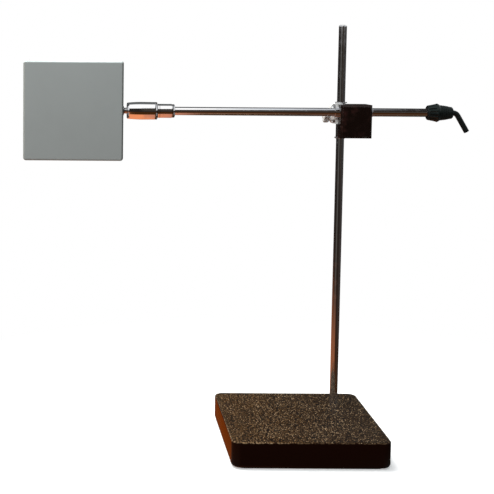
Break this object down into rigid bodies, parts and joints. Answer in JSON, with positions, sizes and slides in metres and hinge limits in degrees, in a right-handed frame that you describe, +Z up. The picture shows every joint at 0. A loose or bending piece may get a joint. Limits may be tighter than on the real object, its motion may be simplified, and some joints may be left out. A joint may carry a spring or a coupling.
{
  "type": "spectroscope",
  "caption": "Bench spectroscope: a flat square instrument head on a hollow boom with a lockable ball swivel, held by a cross clamp on a post in a heavy square base.",
  "frame": {"origin": "middle of the underside of the base's rubber pad, where it rests on the table", "axes": "+Z up along the post, +X right along the boom away from the head, +Y away from the blank front of the head"},
  "size_m": [0.6146, 0.205, 0.57],
  "materials": {
    "base_paint": "dark brown crinkle enamel on a heavy cast plate",
    "chrome": "bright plating with light handling wear",
    "clamp_paint": "near-black satin enamel",
    "head_paint": "flat mid-grey enamel on folded aluminium",
    "steel": "plain machined steel",
    "nylon": "natural nylon",
    "brass": "plain turned brass",
    "rubber": "black rubber",
    "gland_plastic": "black moulded plastic",
    "anodised": "black anodised aluminium",
    "mirror": "front-silvered glass",
    "glass": "clear window glass",
    "circuit": "green circuit laminate and a dark chip"
  },
  "bodies": {
    "base": {"base_pad": "rubber", "base_plate": "base_paint", "support_rod": "chrome", "rod_washer": "steel", "rod_nut": "steel"},
    "collar": {"rod_liner": "chrome", "rod_liner_clip": "steel"},
    "clamp": {"cross_block": "clamp_paint", "rod_saddle": "chrome", "saddle_screws": "steel"},
    "rod_lock_foot": {"rod_lock_pad": "brass"},
    "rod_lock_screw": {"rod_lock_knob": "chrome"},
    "arm_lock_foot": {"arm_lock_pad": "brass"},
    "arm_lock_screw": {"arm_lock_knob": "chrome"},
    "sleeve": {"arm_liner": "chrome", "arm_liner_clip": "steel"},
    "boom": {"arm_tube": "chrome", "socket_shank": "chrome", "gland_body": "gland_plastic", "gland_seal": "rubber", "gland_nut": "gland_plastic", "gland_boot": "rubber", "arm_cable": "rubber"},
    "lip_seat": {"front_seat": "nylon"},
    "barrel": {"socket_barrel": "chrome"},
    "cup": {"rear_seat": "nylon"},
    "ball": {"swivel_ball": "steel", "stud_nut": "steel"},
    "head": {"head_housing": "head_paint", "rear_cover": "head_paint", "cover_screws": "steel", "bezel_screws": "steel", "bench_screws": "steel", "mount_screws": "steel", "slit_plate": "steel", "board_standoffs": "nylon", "lead_connector": "nylon", "head_bush": "brass", "cover_gasket": "rubber", "head_lead": "rubber", "entrance_bezel": "anodised", "optical_bench": "anodised", "fold_mirror_mount": "anodised", "slit_holder": "anodised", "collimator_mount": "anodised", "grating_mount": "anodised", "focusing_mount": "anodised", "detector_bracket": "anodised", "light_baffle": "anodised", "fold_mirror": "mirror", "collimating_mirror": "mirror", "grating": "mirror", "focusing_mirror": "mirror", "entrance_window": "glass", "detector": "circuit", "detector_board": "circuit", "interface_board": "circuit"}
  },
  "joints": [
    {"name": "clamp_height", "type": "slide", "parent": "base", "child": "collar", "axis": [0, 0, 1], "range_m": [-0.28, 0.095]},
    {"name": "clamp_swing", "type": "hinge", "parent": "collar", "child": "clamp", "pos_m": [0.063, 0.063, 0.45], "axis": [0, 0, 1], "continuous": true},
    {"name": "arm_roll", "type": "hinge", "parent": "clamp", "child": "sleeve", "pos_m": [0.063, 0.046, 0.45], "axis": [1, 0, 0], "continuous": true},
    {"name": "arm_reach", "type": "slide", "parent": "sleeve", "child": "boom", "axis": [1, 0, 0], "range_m": [-0.07, 0.19]},
    {"name": "ball_roll", "type": "hinge", "parent": "boom", "child": "cup", "pos_m": [-0.2269, 0.046, 0.45], "axis": [1, 0, 0], "continuous": true},
    {"name": "head_tilt", "type": "hinge", "parent": "cup", "child": "ball", "pos_m": [-0.2269, 0.046, 0.45], "axis": [0, 1, 0], "range_deg": [-18, 18]},
    {"name": "head_spin", "type": "hinge", "parent": "ball", "child": "head", "pos_m": [-0.2269, 0.046, 0.45], "axis": [1, 0, 0], "range_deg": [-170, 170]},
    {"name": "rod_lock_travel", "type": "slide", "parent": "clamp", "child": "rod_lock_foot", "axis": [-1, 0, 0], "range_m": [0, 0.002]},
    {"name": "rod_lock_turn", "type": "hinge", "parent": "rod_lock_foot", "child": "rod_lock_screw", "pos_m": [0.045, 0.063, 0.442], "axis": [-1, 0, 0], "range_deg": [0, 721]},
    {"name": "arm_lock_travel", "type": "slide", "parent": "clamp", "child": "arm_lock_foot", "axis": [0, 1, 0], "range_m": [0, 0.002]},
    {"name": "arm_lock_turn", "type": "hinge", "parent": "arm_lock_foot", "child": "arm_lock_screw", "pos_m": [0.083, 0.083, 0.45], "axis": [0, 1, 0], "range_deg": [0, 721]},
    {"name": "barrel_travel", "type": "slide", "parent": "boom", "child": "lip_seat", "axis": [-1, 0, 0], "range_m": [0, 0.0005]},
    {"name": "barrel_turn", "type": "hinge", "parent": "lip_seat", "child": "barrel", "pos_m": [-0.2269, 0.046, 0.45], "axis": [-1, 0, 0], "range_deg": [0, 181]}
  ],
  "couplings": [
    {"joint": "rod_lock_turn", "follows": "rod_lock_travel", "rad_per_m": 6283.2},
    {"joint": "arm_lock_turn", "follows": "arm_lock_travel", "rad_per_m": 6283.2},
    {"joint": "barrel_turn", "follows": "barrel_travel", "rad_per_m": 6283.2}
  ]
}
